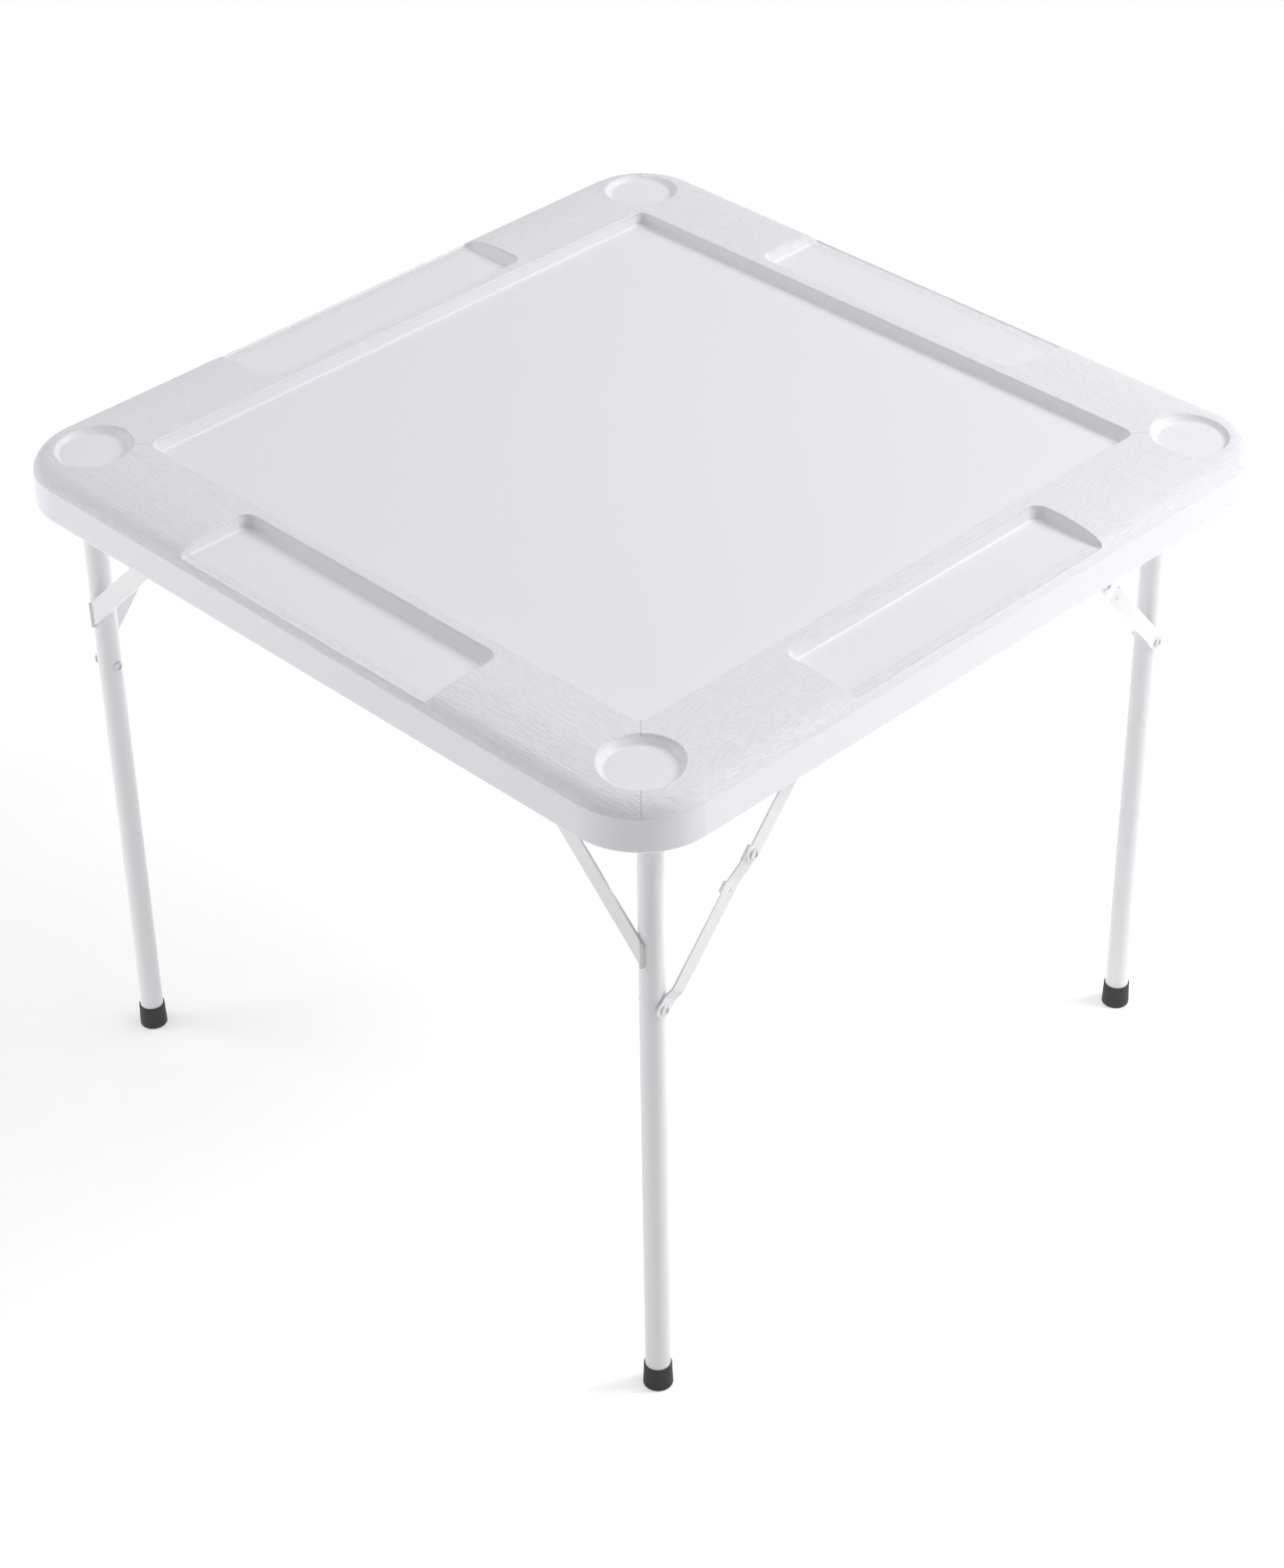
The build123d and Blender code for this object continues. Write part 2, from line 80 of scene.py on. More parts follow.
class Value:
    """A number socket that adds Math nodes when it is used in an expression."""

    def __init__(self, graph: "Graph", socket: bpy.types.NodeSocket) -> None:
        """Wrap an output socket of a graph."""
        self.graph = graph
        self.socket = socket

    def _math(self, operation: str, *terms: Any) -> "Value":
        """Add one Math node of the given operation on these terms."""
        values = {index: term for index, term in enumerate(terms)}
        return self.graph.number("ShaderNodeMath", {"operation": operation}, values)

    def __add__(self, other: Any) -> "Value":
        """self + other."""
        return self._math("ADD", self, other)

    def __radd__(self, other: Any) -> "Value":
        """other + self."""
        return self._math("ADD", other, self)

    def __sub__(self, other: Any) -> "Value":
        """self - other."""
        return self._math("SUBTRACT", self, other)

    def __rsub__(self, other: Any) -> "Value":
        """other - self."""
        return self._math("SUBTRACT", other, self)

    def __mul__(self, other: Any) -> "Value":
        """self * other."""
        return self._math("MULTIPLY", self, other)

    def __rmul__(self, other: Any) -> "Value":
        """other * self."""
        return self._math("MULTIPLY", other, self)

    def __truediv__(self, other: Any) -> "Value":
        """self / other."""
        return self._math("DIVIDE", self, other)

    def __rtruediv__(self, other: Any) -> "Value":
        """other / self."""
        return self._math("DIVIDE", other, self)

    def __pow__(self, other: Any) -> "Value":
        """self to a power."""
        return self._math("POWER", self, other)

    def __abs__(self) -> "Value":
        """The size of self without its sign."""
        return self._math("ABSOLUTE", self)

    def sine(self) -> "Value":
        """The sine of self."""
        return self._math("SINE", self)

    def lower(self, other: Any) -> "Value":
        """The lower of self and other."""
        return self._math("MINIMUM", self, other)

    def higher(self, other: Any) -> "Value":
        """The higher of self and other."""
        return self._math("MAXIMUM", self, other)

    def ramp(self, start: float, end: float) -> "Value":
        """A smooth step from 0 where self is start to 1 where it is end."""
        values = {"Value": self, "From Min": start, "From Max": end}
        return self.graph.number("ShaderNodeMapRange", {"interpolation_type": "SMOOTHSTEP"}, values, "Result")


class Graph:
    """A node tree with one method that adds any node, its settings and its inputs."""

    def __init__(self, tree: bpy.types.NodeTree) -> None:
        """Wrap an existing node tree."""
        self.tree = tree

    def node(
        self, kind: str, settings: dict[str, Any] | None = None, inputs: dict[Any, Any] | None = None
    ) -> bpy.types.Node:
        """Add a node.

        Args:
            kind: The node's type name.
            settings: Attributes of the node, set first.
            inputs: Values or links of its sockets, by name or by place.

        Returns:
            The new node.
        """
        made = self.tree.nodes.new(kind)
        for name, setting in (settings or {}).items():
            setattr(made, name, setting)
        for key, given in (inputs or {}).items():
            socket = made.inputs[key]
            if isinstance(given, Value):
                given = given.socket
            if isinstance(given, bpy.types.NodeSocket):
                self.tree.links.new(given, socket)
            else:
                socket.default_value = given
        return made

    def number(self, kind: str, settings: dict[str, Any], inputs: dict[Any, Any], out: Any = 0) -> Value:
        """Add a node and wrap one of its number outputs."""
        return Value(self, self.node(kind, settings, inputs).outputs[out])

    def noise(self, where: Any, scale: float, detail: float = 2.0, roughness: float = 0.5) -> Value:
        """A noise pattern between 0 and 1 at a scale in cells per metre."""
        inputs = {"Vector": where, "Scale": scale, "Detail": detail, "Roughness": roughness}
        return self.number("ShaderNodeTexNoise", {}, inputs, "Fac")

    def place(self, x: Any, y: Any, z: Any) -> bpy.types.NodeSocket:
        """Join three values into a vector."""
        return self.node("ShaderNodeCombineXYZ", {}, {"X": x, "Y": y, "Z": z}).outputs["Vector"]

    def axes(self, where: bpy.types.NodeSocket) -> tuple[Value, Value, Value]:
        """Part a vector into its three values."""
        parts = self.node("ShaderNodeSeparateXYZ", {}, {"Vector": where}).outputs
        return Value(self, parts["X"]), Value(self, parts["Y"]), Value(self, parts["Z"])

    def own_place(self) -> bpy.types.NodeSocket:
        """The shaded point in the object's own coordinates."""
        return self.node("ShaderNodeTexCoord").outputs["Object"]

    def mix(self, factor: Any, first: Any, second: Any) -> bpy.types.NodeSocket:
        """Blend two colours."""
        inputs = {"Factor": factor, COLOUR_A: first, COLOUR_B: second}
        return self.node("ShaderNodeMix", {"data_type": "RGBA"}, inputs).outputs[COLOUR_OUT]


@dataclass(frozen=True)
class Finish:
    """A surface finish; each kind of finish adds its own detail."""

    name: str
    colour: Colour
    roughness: float

    def material(self) -> bpy.types.Material:
        """Build the finish as a material, or find it if it is there already.

        Returns:
            The material.
        """
        known = bpy.data.materials.get(self.name)
        if known:
            return known
        made = bpy.data.materials.new(self.name)
        made.use_nodes = True
        made.node_tree.nodes.clear()
        graph = Graph(made.node_tree)
        inputs = {"Base Color": self.colour, "Roughness": self.roughness}
        shader = graph.node("ShaderNodeBsdfPrincipled", {}, inputs)
        self.detail(graph, shader, graph.own_place())
        graph.node("ShaderNodeOutputMaterial", {}, {"Surface": shader.outputs["BSDF"]})
        return made

    def detail(self, graph: Graph, shader: bpy.types.Node, where: bpy.types.NodeSocket) -> None:
        """Add what this finish shows close up."""
        raise NotImplementedError

    @staticmethod
    def feed(graph: Graph, shader: bpy.types.Node, name: str, given: Any) -> None:
        """Link a value or colour into one of the shader's sockets."""
        socket = given.socket if isinstance(given, Value) else given
        graph.tree.links.new(socket, shader.inputs[name])

    @staticmethod
    def bump(graph: Graph, shader: bpy.types.Node, height: Value, strength: float, distance: float) -> None:
        """Raise the surface by a height pattern.

        Args:
            graph: The material's graph.
            shader: Its shader.
            height: The pattern.
            strength: The share of the raised surface's slope that is shown.
            distance: How far a height of 1 is raised, in metres.
        """
        inputs = {"Strength": strength, "Distance": distance, "Height": height}
        made = graph.node("ShaderNodeBump", {}, inputs)
        graph.tree.links.new(made.outputs["Normal"], shader.inputs["Normal"])


@dataclass(frozen=True)
class MouldedTop(Finish):
    """White moulded plastic: long wavy grain pressed into the border, smooth in the sunken places.

    The sizes from top_z to turn_fade say where the border lies on the top and how softly the grain ends
    there. The others are the grain's own and the plastic's.
    """

    top_z: float = 0.740
    half_side: float = 0.445
    corner_radius: float = 0.078
    crown_from_side: float = 0.065
    crown_radius: float = 0.2325
    shoulder_from_side: float = 0.0195
    shoulder_fade: float = 0.0008
    crease_drop: float = 0.0195
    crease_fade: float = 0.0012
    sunk_from: float = 0.0012
    sunk_by: float = 0.0030
    turn_fade: float = 0.0005
    streak_length: float = 0.014
    streak_width: float = 0.0023
    wave_edges: tuple[float, float] = (0.41, 0.57)
    wave_share: float = 0.8
    wave_offset: float = 7.3
    line_length_share: float = 0.6
    line_width_share: float = 0.4
    line_edges: tuple[float, float] = (0.35, 0.65)
    line_share: float = 0.2
    line_offset: float = 3.1
    drop_share: float = 0.9
    grain_depth: float = 0.00037
    grain_strength: float = 0.9
    # How far the grain's hollows are darkened by painted shade
    groove_painted_shade: float = 0.018
    grain_roughness: float = 0.12
    satin_scale: float = 1100.0
    satin_share: float = 0.10
    cloud_scale: float = 3.0
    cloud_shade: float = 0.012
    cloud_roughness: float = 0.05
    shade_colour: Colour = grey(0.35, 0.01)
    specular: float = 0.45

    def detail(self, graph: Graph, shader: bpy.types.Node, where: bpy.types.NodeSocket) -> None:
        """Grain along each side of the border and over its rounded edge, with painted shade in its hollows,
        and a satin skin elsewhere.

        Args:
            graph: The material's graph.
            shader: Its shader.
            where: The shaded point.
        """
        across, along, height = graph.axes(where)
        border = self.border(across, along, height)
        streaks = self.streaks(graph, across, along, height)
        satin = graph.noise(where, self.satin_scale)
        cloud = graph.noise(where, self.cloud_scale)
        relief = streaks * border + satin * self.satin_share
        self.bump(graph, shader, relief, self.grain_strength, self.grain_depth)
        # Painted shade: the grain's hollows are darkened in colour as if shaded; the cloud adds a random
        # tone.
        shade = (1.0 - streaks) * border * self.groove_painted_shade + cloud * self.cloud_shade
        self.feed(graph, shader, "Base Color", graph.mix(shade, self.colour, self.shade_colour))
        roughness = self.roughness + border * self.grain_roughness + cloud * self.cloud_roughness
        self.feed(graph, shader, "Roughness", roughness)
        shader.inputs["Specular IOR Level"].default_value = self.specular

    def border(self, x: Value, y: Value, z: Value) -> Value:
        """Mask of the outer border: 1 on its crowned surface down to the crease, 0 in what is sunk in it.

        Args:
            x: Place along the world's x axis.
            y: Place along the world's y axis.
            z: Height.

        Returns:
            The mask, from 0 to 1.
        """
        straight = self.half_side - self.corner_radius
        past_x = abs(x) - straight
        past_y = abs(y) - straight
        in_corner = (past_x.higher(0.0) ** 2.0 + past_y.higher(0.0) ** 2.0) ** 0.5
        from_side = self.corner_radius - in_corner - past_x.higher(past_y).lower(0.0)
        slope = (self.crown_from_side - from_side).higher(0.0)
        sunk = z - self.top_z + slope * slope / (2.0 * self.crown_radius)
        level = sunk.ramp(-self.sunk_by, -self.sunk_from)
        edge = 1.0 - from_side.ramp(self.shoulder_from_side - self.shoulder_fade, self.shoulder_from_side)
        above_crease = (z - self.top_z + self.crease_drop).ramp(-self.crease_fade, self.crease_fade)
        return level.higher(edge) * above_crease

    def streaks(self, graph: Graph, x: Value, y: Value, z: Value) -> Value:
        """Height of the pressed grain, which runs along the side that it is nearest to.

        Args:
            graph: The graph to add to.
            x: Place along the world's x axis.
            y: Place along the world's y axis.
            z: Height.

        Returns:
            The height, from 0 to 1.
        """
        beside_x = (abs(y) - abs(x)).ramp(-self.turn_fade, self.turn_fade)
        run = x * beside_x + y * (1.0 - beside_x)
        step = abs(y) * beside_x + abs(x) * (1.0 - beside_x) - z * self.drop_share
        wide = graph.place(run / self.streak_length, step / self.streak_width, beside_x * self.wave_offset)
        waves = graph.noise(wide, 1.0, detail=3.0, roughness=0.55)
        line_length = self.streak_length * self.line_length_share
        line_width = self.streak_width * self.line_width_share
        fine = graph.place(run / line_length, step / line_width, beside_x * self.line_offset)
        lines = graph.noise(fine, 1.0)
        return waves.ramp(*self.wave_edges) * self.wave_share + lines.ramp(*self.line_edges) * self.line_share


@dataclass(frozen=True)
class PowderCoat(Finish):
    """White powder coat on steel, with a faint orange peel."""

    peel_scale: float = 700.0
    peel_depth: float = 0.00006
    peel_strength: float = 0.5
    cloud_scale: float = 14.0
    cloud_shade: float = 0.05
    cloud_roughness: float = 0.08
    shade_colour: Colour = grey(0.6, 0.01)
    coat_weight: float = 0.25
    coat_roughness: float = 0.12

    def detail(self, graph: Graph, shader: bpy.types.Node, where: bpy.types.NodeSocket) -> None:
        """A fine peel and a slow change of gloss along the metal.

        Args:
            graph: The material's graph.
            shader: Its shader.
            where: The shaded point.
        """
        peel = graph.noise(where, self.peel_scale, detail=1.5, roughness=0.4)
        cloud = graph.noise(where, self.cloud_scale, detail=3.0, roughness=0.55)
        self.bump(graph, shader, peel, self.peel_strength, self.peel_depth)
        shade = cloud * self.cloud_shade
        self.feed(graph, shader, "Base Color", graph.mix(shade, self.colour, self.shade_colour))
        self.feed(graph, shader, "Roughness", self.roughness + cloud * self.cloud_roughness)
        shader.inputs["Coat Weight"].default_value = self.coat_weight
        shader.inputs["Coat Roughness"].default_value = self.coat_roughness


@dataclass(frozen=True)
class MouldedRubber(Finish):
    """Black rubber with a dull skin, scuffed where it meets the floor."""

    pit_scale: float = 1400.0
    pit_depth: float = 0.00008
    pit_strength: float = 0.6
    pit_roughness: float = 0.12
    scuff_height: float = 0.006
    scuff_scale: float = 260.0
    scuff_shade: float = 0.35
    scuff_roughness: float = 0.1
    scuff_colour: Colour = grey(0.09)

    def detail(self, graph: Graph, shader: bpy.types.Node, where: bpy.types.NodeSocket) -> None:
        """A pitted skin and a greyer foot.

        Args:
            graph: The material's graph.
            shader: Its shader.
            where: The shaded point.
        """
        height = graph.axes(where)[2]
        pits = graph.noise(where, self.pit_scale, roughness=0.6)
        scratches = graph.noise(where, self.scuff_scale, detail=3.0, roughness=0.6)
        scuff = (1.0 - height.ramp(0.0, self.scuff_height)) * scratches
        self.bump(graph, shader, pits, self.pit_strength, self.pit_depth)
        shade = scuff * self.scuff_shade
        self.feed(graph, shader, "Base Color", graph.mix(shade, self.colour, self.scuff_colour))
        roughness = self.roughness + pits * self.pit_roughness + scuff * self.scuff_roughness
        self.feed(graph, shader, "Roughness", roughness)


@dataclass(frozen=True)
class ZincPlate(Finish):
    """Bright zinc plate on steel fasteners and brackets."""

    cloud_scale: float = 160.0
    cloud_shade: float = 0.4
    cloud_roughness: float = 0.16
    mark_scale: float = 2200.0
    mark_depth: float = 0.00004
    mark_strength: float = 0.4
    shade_colour: Colour = grey(0.38, 0.010)

    def detail(self, graph: Graph, shader: bpy.types.Node, where: bpy.types.NodeSocket) -> None:
        """Cloudy plating with fine drawing marks.

        Args:
            graph: The material's graph.
            shader: Its shader.
            where: The shaded point.
        """
        cloud = graph.noise(where, self.cloud_scale, detail=3.0, roughness=0.6)
        marks = graph.noise(where, self.mark_scale)
        self.bump(graph, shader, marks, self.mark_strength, self.mark_depth)
        shade = cloud * self.cloud_shade
        self.feed(graph, shader, "Base Color", graph.mix(shade, self.colour, self.shade_colour))
        self.feed(graph, shader, "Roughness", self.roughness + cloud * self.cloud_roughness)
        shader.inputs["Metallic"].default_value = 1.0


class Slot(Enum):
    """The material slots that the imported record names."""

    PLASTIC = "white_plastic"
    PAINT = "white_paint"
    RUBBER = "black_rubber"
    ZINC = "zinc"


FINISHES: dict[Slot, Finish] = {
    Slot.PLASTIC: MouldedTop("moulded_top", (0.797, 0.791, 0.826, 1.0), roughness=0.42),
    Slot.PAINT: PowderCoat("powder_coat", (0.775, 0.768, 0.785, 1.0), roughness=0.28),
    Slot.RUBBER: MouldedRubber("foot_rubber", grey(0.012), roughness=0.55),
    Slot.ZINC: ZincPlate("zinc_plate", grey(0.60, 0.010), roughness=0.26),
}


def dress(piece: bpy.types.Object, slot: Slot) -> None:
    """Give an object one finish all over."""
    piece.data.materials.clear()
    piece.data.materials.append(FINISHES[slot].material())


# Repeated steel details


class Tool:
    """A Geometry Nodes tree with named inputs, run once on a mesh to give a plain mesh."""

    def __init__(self, name: str, inputs: dict[str, str]) -> None:
        """Make an empty tree.

        Args:
            name: The tree's name.
            inputs: The named inputs after the geometry, each with its socket's type.
        """
        self.tree = bpy.data.node_groups.new(name, "GeometryNodeTree")
        self.tree.interface.new_socket("Geometry", in_out="INPUT", socket_type="NodeSocketGeometry")
        for label, kind in inputs.items():
            self.tree.interface.new_socket(label, in_out="INPUT", socket_type=kind)
        self.tree.interface.new_socket("Geometry", in_out="OUTPUT", socket_type="NodeSocketGeometry")
        self.graph = Graph(self.tree)
        self.given = self.graph.node("NodeGroupInput").outputs

    def value(self, label: str) -> Value:
        """One of the named inputs as a number."""
        return Value(self.graph, self.given[label])

    def close(self, geometry: bpy.types.NodeSocket) -> None:
        """End the tree in real geometry that is smooth and has the piece's finish.

        Args:
            geometry: What the tree has made.
        """
        real = self.graph.node("GeometryNodeRealizeInstances", {}, {"Geometry": geometry})
        smooth = self.graph.node("GeometryNodeSetShadeSmooth", {}, {"Geometry": real.outputs[0]})
        inputs = {"Geometry": smooth.outputs[0], "Material": self.given["Finish"]}
        coated = self.graph.node("GeometryNodeSetMaterial", {}, inputs)
        self.graph.node("NodeGroupOutput", {}, {"Geometry": coated.outputs[0]})

    def run(self, piece: bpy.types.Object, settings: dict[str, Any]) -> None:
        """Apply the tree to an object, which keeps the result as a plain mesh.

        Args:
            piece: The object, whose mesh is what the tree starts from.
            settings: The values of the named inputs.
        """
        modifier = piece.modifiers.new(self.tree.name, "NODES")
        modifier.node_group = self.tree
        for item in self.tree.interface.items_tree:
            if item.in_out == "INPUT" and item.name in settings:
                modifier[item.identifier] = settings[item.name]
        evaluated = piece.evaluated_get(bpy.context.evaluated_depsgraph_get())
        made = bpy.data.meshes.new_from_object(evaluated)
        piece.modifiers.clear()
        piece.data = made


def new_piece(name: str, points: Sequence[Point], edges: Sequence[tuple[int, int]] = ()) -> bpy.types.Object:
    """Make an object of loose points and edges for a tree to work on.

    Args:
        name: The object's name.
        points: Its points.
        edges: The pairs of points that its edges join.

    Returns:
        The object, linked to the scene.
    """
    mesh = bpy.data.meshes.new(name)
    mesh.from_pydata([Vector(point) for point in points], list(edges), [])
    made = bpy.data.objects.new(name, mesh)
    bpy.context.scene.collection.objects.link(made)
    return made


@dataclass(frozen=True)
class LegPlace:
    """Where a leg stands: its centre line, its axle's height and which body it belongs to."""

    x: float
    y: float
    axle_z: float
    body: str

    @property
    def out_x(self) -> float:
        """The sign of x that points away from the table's middle."""
        return math.copysign(1.0, self.x)

    @property
    def out_y(self) -> float:
        """The sign of y that points away from the table's middle."""
        return math.copysign(1.0, self.y)


@dataclass
class FrameSizes:
    """The leg frame's sizes that the welds and screws are set out from, in metres."""

    wide_leg_x: float = 0.391
    narrow_leg_x: float = 0.3445
    axle_y: float = 0.381
    wide_axle_z: float = 0.700
    narrow_axle_z: float = 0.704
    tube_radius: float = 0.0125

    def legs(self) -> list[LegPlace]:
        """Set out the legs.

        Returns:
            The left, front, right and back leg.
        """
        wide, narrow = self.wide_leg_x, self.narrow_leg_x
        return [
            LegPlace(-wide, -self.axle_y, self.wide_axle_z, "wide_frame"),
            LegPlace(wide, -self.axle_y, self.wide_axle_z, "wide_frame"),
            LegPlace(narrow, self.axle_y, self.narrow_axle_z, "narrow_frame"),
            LegPlace(-narrow, self.axle_y, self.narrow_axle_z, "narrow_frame"),
        ]


@dataclass
class WeldBeads:
    """Rippled beads where each leg meets its cross tube and its gusset, two pieces for each frame."""

    sizes: FrameSizes = field(default_factory=FrameSizes)
    joint_radius: float = 0.0017
    joint_sink: float = 0.0002
    joint_start: float = math.radians(48.0)
    joint_points: int = 96
    gusset_radius: float = 0.0027
    gusset_top: float = 0.1434
    gusset_bottom: float = 0.1716
    gusset_past_axis: float = 0.001
    gusset_bead_out: float = 0.0141
    ripple: float = 0.0024
    steps_per_ripple: int = 5
    dip: float = 0.38
    unevenness: float = 0.36
    bumps_per_ripple: float = 0.45
    section_points: int = 10
    seed: int = 11

    def build(self) -> list[str]:
        """Lay the beads of both frames.

        Returns:
            The names of the pieces.
        """
        tool = self.tree()
        made: list[str] = []
        for body in ("wide_frame", "narrow_frame"):
            legs = [leg for leg in self.sizes.legs() if leg.body == body]
            copes = [self.cope(leg) for leg in legs]
            made.append(self.lay(tool, f"{body}_joint_beads", body, copes, self.joint_radius))
            ends = [end for leg in legs for end in self.gusset_ends(leg)]
            made.append(self.lay(tool, f"{body}_gusset_beads", body, ends, self.gusset_radius))
        return made

    def lay(self, tool: Tool, name: str, body: str, paths: list[list[Point]], radius: float) -> str:
        """Lay beads of one radius along some paths as one piece.

        Args:
            tool: The tree that sweeps the beads.
            name: The piece's name.
            body: The body that it rides on.
            paths: The lines that the beads follow.
            radius: The beads' radius.

        Returns:
            The piece's name.
        """
        edges: list[tuple[int, int]] = []
        first = 0
        for path in paths:
            edges += [(first + place, first + place + 1) for place in range(len(path) - 1)]
            first += len(path)
        piece = new_piece(name, [point for path in paths for point in path], edges)
        settings = {
            "Bead radius": radius,
            "Ripple": self.ripple,
            "Dip": self.dip,
            "Unevenness": self.unevenness,
            "Seed": float(self.seed),
            "Finish": FINISHES[Slot.PAINT].material(),
        }
        tool.run(piece, settings)
        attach(piece, body)
        return piece.name

    def cope(self, leg: LegPlace) -> list[Point]:
        """The line round the top of a leg where it meets the cross tube, short of the bracket beside it.

        Args:
            leg: The leg.

        Returns:
            The line's points.
        """
        radius = self.sizes.tube_radius
        turn = 2 * (math.pi - self.joint_start) / (self.joint_points - 1)
        angles = [self.joint_start + turn * step for step in range(self.joint_points)]
        return [
            (
                leg.x + leg.out_x * radius * math.cos(angle),
                leg.y + leg.out_y * radius * math.sin(angle),
                leg.axle_z - radius * abs(math.cos(angle)) - self.joint_sink,
            )
            for angle in angles
        ]

    def gusset_ends(self, leg: LegPlace) -> list[list[Point]]:
        """The lines along the two welded ends of a leg's gusset.

        Args:
            leg: The leg.

        Returns:
            The line on the leg and the line on the cross tube.
        """
        bead_y = leg.y + leg.out_y * self.gusset_bead_out
        end_x = leg.x + leg.out_x * self.gusset_past_axis
        high_z = leg.axle_z + self.gusset_past_axis
        reaches = (self.gusset_top, self.gusset_bottom)
        on_leg = [(end_x, bead_y, leg.axle_z - reach) for reach in reaches]
        on_cross = [(leg.x - leg.out_x * reach, bead_y, high_z) for reach in reaches]
        return [on_leg, on_cross]

    def tree(self) -> Tool:
        """Make the tree that sweeps a small round section along each path and pinches it at every ripple.

        Returns:
            The tree.
        """
        labels = ("Bead radius", "Ripple", "Dip", "Unevenness", "Seed")
        numbers = {label: "NodeSocketFloat" for label in labels}
        tool = Tool("weld_bead", {**numbers, "Finish": "NodeSocketMaterial"})
        graph = tool.graph
        path = graph.node("GeometryNodeMeshToCurve", {}, {"Mesh": tool.given["Geometry"]})
        step = tool.value("Ripple") / float(self.steps_per_ripple)
        settings = {"mode": "LENGTH"}
        line = graph.node("GeometryNodeResampleCurve", settings, {"Curve": path.outputs[0], "Length": step})
        run = Value(graph, graph.node("GeometryNodeSplineParameter").outputs["Length"])
        wave = abs((run / tool.value("Ripple") * math.pi).sine())
        place = graph.place(run / tool.value("Ripple") * self.bumps_per_ripple, tool.value("Seed"), 0.0)
        rough = graph.noise(place, 1.0, roughness=0.6)
        width = 1.0 - tool.value("Dip") * (1.0 - wave) + tool.value("Unevenness") * (rough - 0.5)
        inputs = {"Resolution": self.section_points, "Radius": tool.value("Bead radius")}
        section = graph.node("GeometryNodeCurvePrimitiveCircle", {}, inputs)
        inputs = {
            "Curve": line.outputs[0],
            "Profile Curve": section.outputs[0],
            "Scale": width,
            "Fill Caps": True,
        }
        tool.close(graph.node("GeometryNodeCurveToMesh", {}, inputs).outputs[0])
        return tool


@dataclass
class BracketScrews:
    """The pan-head screws with a cross recess that hold the brackets under the top.

    Each row of head_shares is a point of the head's profile, from its underside to the recess: its
    distance from the axis as a share of head_radius, and its distance below the bracket as a share of
    head_height.
    """

    sizes: FrameSizes = field(default_factory=FrameSizes)
    ceiling_z: float = 0.7195
    axle_plate: float = 0.0025
    axle_ear: float = 0.0131
    axle_hole: float = 0.0068
    axle_shift: float = 0.013
    axle_spacing: float = 0.046
    anchor_plate: float = 0.002
    anchor_plane: float = 0.0244
    anchor_hole: float = 0.0085
    anchor_reach: float = 0.189
    anchor_spacing: float = 0.033
    shank_radius: float = 0.002
    shank_length: float = 0.0066
    shank_point: float = 0.0012
    shank_tip_share: float = 0.3
    head_radius: float = 0.0036
    head_height: float = 0.0019
    head_shares: tuple[tuple[float, float], ...] = (
        (1.0, 0.0),
        (1.0, 0.45),
        (0.93, 0.75),
        (0.80, 0.93),
        (0.62, 1.0),
    )
    recess_radius: float = 0.0019
    recess_depth: float = 0.0011
    recess_arm: float = 0.00038
    recess_foot_share: float = 0.62
    around: int = 24
    seed: int = 5

    def build(self) -> list[str]:
        """Put one screw at each hole, each turned its own way.

        Returns:
            The name of the piece.
        """
        screw = self.screw()
        piece = new_piece("bracket_screw_set", self.places())
        settings = {"Screw": screw, "Seed": self.seed, "Finish": FINISHES[Slot.ZINC].material()}
        self.tree().run(piece, settings)
        bpy.data.objects.remove(screw)
        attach(piece, "tabletop")
        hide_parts("bracket_screws")
        return [piece.name]

    def places(self) -> list[Point]:
        """Set out the screws on the faces of the brackets' flanges.

        Returns:
            The middle of each screw.
        """
        found: list[Point] = []
        for leg in self.sizes.legs():
            axle_x = leg.x + leg.out_x * (self.axle_ear + self.axle_plate + self.axle_hole)
            anchor_x = leg.x + leg.out_x * (self.anchor_plane - self.anchor_hole)
            for side in (-0.5, 0.5):
                axle_y = abs(leg.y) - self.axle_shift + side * self.axle_spacing
                found.append((axle_x, leg.out_y * axle_y, self.ceiling_z - self.axle_plate))
                anchor_y = abs(leg.y) - self.anchor_reach + side * self.anchor_spacing
                found.append((anchor_x, leg.out_y * anchor_y, self.ceiling_z - self.anchor_plate))
        return found

    def profile(self) -> list[tuple[float, float]]:
        """Half the screw's outline, from its tip to the flat round its recess.

        Returns:
            The radius and height of each point.
        """
        shank = [
            (self.shank_radius * self.shank_tip_share, self.shank_length),
            (self.shank_radius, self.shank_length - self.shank_point),
            (self.shank_radius, 0.0),
        ]
        head = [(self.head_radius * out, -self.head_height * down) for out, down in self.head_shares]
        return shank + head

    def screw(self) -> bpy.types.Object:
        """Make one screw, pointing up, with the underside of its head on z = 0.

        Returns:
            The screw, linked to the scene.
        """
        made = bmesh.new()
        loops = [self.ring(made, radius, height) for radius, height in self.profile()]
        for upper, lower in zip(loops, loops[1:]):
            self.skirt(made, upper, lower)
        made.faces.new(loops[0])
        mouth = self.cross(made, 1.0, -self.head_height)
        foot = self.cross(made, self.recess_foot_share, -self.head_height + self.recess_depth)
        self.skirt(made, mouth, foot)
        made.faces.new(foot)
        rims = [made.edges.get(pair) for pair in self.pairs(loops[-1]) + self.pairs(mouth)]
        bmesh.ops.triangle_fill(made, use_beauty=True, edges=rims)
        bmesh.ops.recalc_face_normals(made, faces=made.faces[:])
        mesh = bpy.data.meshes.new("screw")
        made.to_mesh(mesh)
        made.free()
        screw = bpy.data.objects.new("screw", mesh)
        bpy.context.scene.collection.objects.link(screw)
        return screw

    @staticmethod
    def pairs(loop: Loop) -> list[tuple[bmesh.types.BMVert, bmesh.types.BMVert]]:
        """The neighbouring points round a loop."""
        return list(zip(loop, loop[1:] + loop[:1]))

    def ring(self, made: bmesh.types.BMesh, radius: float, height: float) -> Loop:
        """A circle of points at a height."""
        turns = [2 * math.pi * step / self.around for step in range(self.around)]
        return [made.verts.new((radius * math.cos(turn), radius * math.sin(turn), height)) for turn in turns]

